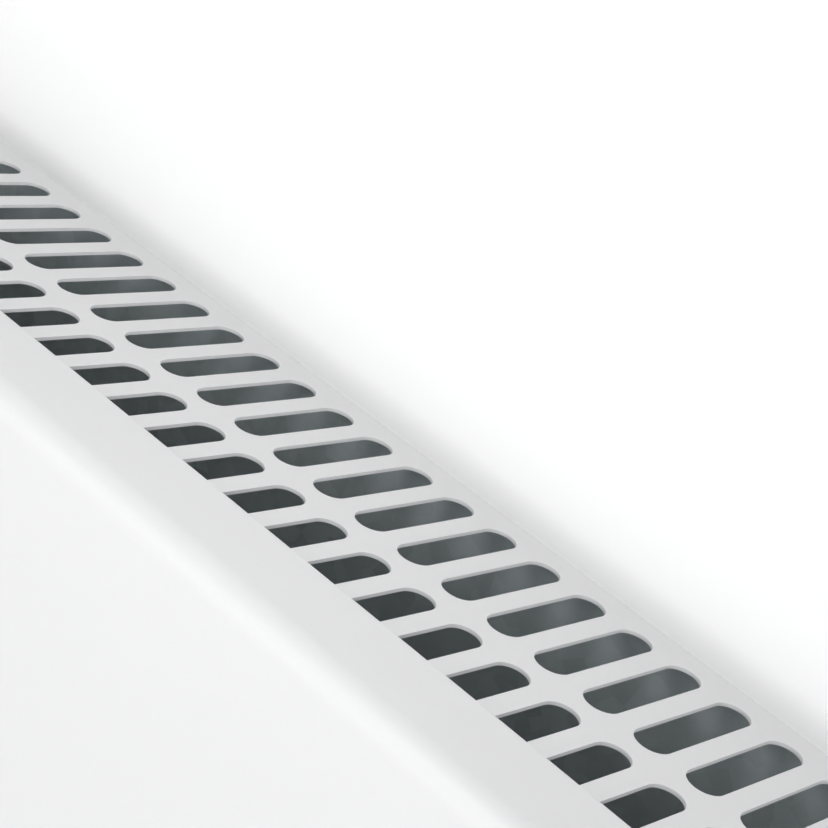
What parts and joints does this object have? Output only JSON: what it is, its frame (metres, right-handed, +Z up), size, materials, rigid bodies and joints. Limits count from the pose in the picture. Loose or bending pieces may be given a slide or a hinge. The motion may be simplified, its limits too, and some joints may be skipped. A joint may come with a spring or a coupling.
{
  "type": "electric panel heater",
  "caption": "Slim wall-hung electric panel heater with slotted top grille, rounded front lip, side thermostat knob, rocker switch and sprung wall bracket.",
  "frame": {"origin": "centre of the four wall screws, on the wall face of the bracket", "axes": "+X to the control end, +Y into the wall, +Z up"},
  "size_m": [0.7208, 0.0937, 0.4025],
  "materials": {
    "white_casing": "fine satin white powder coat",
    "back_casing": "satin white powder coat outside, thin grey primer inside",
    "white_moulding": "fine-textured white moulding",
    "galvanised_sheet": "galvanised, dull spangle",
    "element_aluminium": "mill-finish extrusion, slightly darkened by heat",
    "steel_sheath": "drawn stainless steel, heat tinted",
    "ceramic": "unglazed white ceramic",
    "rubber_grommet": "matt black rubber",
    "black_moulding": "black heat-resistant moulding",
    "grey_moulding": "light grey fine-textured moulding",
    "knob_moulding": "satin white moulding",
    "rocker_moulding": "polished white moulding",
    "shaft_steel": "turned steel",
    "indicator_ring": "black ring",
    "indicator_amber": "translucent amber lens",
    "copper": "drawn copper tube",
    "clip_moulding": "natural nylon",
    "terminal_moulding": "cream moulding",
    "brass_fittings": "machined brass",
    "brown_lead": "brown insulation",
    "white_lead": "white glass-fibre sleeving",
    "blue_lead": "blue insulation",
    "green_lead": "green and yellow insulation",
    "thin_lead": "grey insulation",
    "bracket_steel": "galvanised",
    "latch_moulding": "dark grey nylon",
    "spring_steel": "bright spring steel",
    "spacer_rubber": "dark grey rubber",
    "zinc_screws": "zinc plated",
    "white_screws": "white painted head"
  },
  "bodies": {
    "heater": {"front_panel": "white_casing", "top_grille": "white_casing", "bottom_grille": "white_casing", "back_panel": "back_casing", "end_cap_left": "white_moulding", "end_cap_right": "white_moulding", "heat_shield": "galvanised_sheet", "partition_plate": "galvanised_sheet", "cutout_bracket": "galvanised_sheet", "element_bracket_left": "galvanised_sheet", "element_bracket_right": "galvanised_sheet", "element_profile": "element_aluminium", "element_rod": "steel_sheath", "element_pins": "steel_sheath", "element_insulators": "ceramic", "element_bushes": "ceramic", "partition_grommets": "rubber_grommet", "thermal_cutout": "black_moulding", "thermostat_body": "black_moulding", "switch_body": "black_moulding", "cable_gland": "black_moulding", "gland_nut": "black_moulding", "control_bezel": "grey_moulding", "indicator_body": "indicator_ring", "indicator_lens": "indicator_amber", "sensor_capillary": "copper", "sensor_bulb": "copper", "sensor_clips": "clip_moulding", "terminal_block": "terminal_moulding", "terminal_screws": "brass_fittings", "earth_stud": "brass_fittings", "earth_nut": "brass_fittings", "earth_lug": "brass_fittings", "live_lead": "brown_lead", "switch_lead": "brown_lead", "control_lead": "brown_lead", "element_lead": "white_lead", "neutral_lead": "blue_lead", "earth_lead": "green_lead", "lamp_leads": "thin_lead", "bracket_rail_left": "bracket_steel", "bracket_rail_right": "bracket_steel", "bracket_crossbar_upper": "bracket_steel", "bracket_crossbar_lower": "bracket_steel", "latch_spring_left": "spring_steel", "latch_spring_right": "spring_steel", "wall_spacers": "spacer_rubber", "back_panel_screws": "zinc_screws", "front_panel_screws": "zinc_screws", "thermostat_screws": "zinc_screws", "end_cap_screws": "white_screws"},
    "knob": {"thermostat_knob": "knob_moulding", "thermostat_shaft": "shaft_steel"},
    "rocker": {"switch_rocker": "rocker_moulding"},
    "catch_left": {"latch_left": "latch_moulding"},
    "catch_right": {"latch_right": "latch_moulding"}
  },
  "joints": [
    {"name": "thermostat_turn", "type": "hinge", "parent": "heater", "child": "knob", "pos_m": [0.352, -0.05385, 0.11], "axis": [-1, 0, 0], "range_deg": [0, 270]},
    {"name": "rocker_tip", "type": "hinge", "parent": "heater", "child": "rocker", "pos_m": [0.3515, -0.05385, 0.055], "axis": [0, 1, 0], "range_deg": [0, 18]},
    {"name": "catch_left_press", "type": "slide", "parent": "heater", "child": "catch_left", "axis": [0, 0, -1], "range_m": [0, 0.0064], "stiffness_N_per_m": 500, "springref_m": -0.004, "deforming": ["latch_spring_left"]},
    {"name": "catch_right_press", "type": "slide", "parent": "heater", "child": "catch_right", "axis": [0, 0, -1], "range_m": [0, 0.0064], "stiffness_N_per_m": 500, "springref_m": -0.004, "deforming": ["latch_spring_right"]}
  ]
}
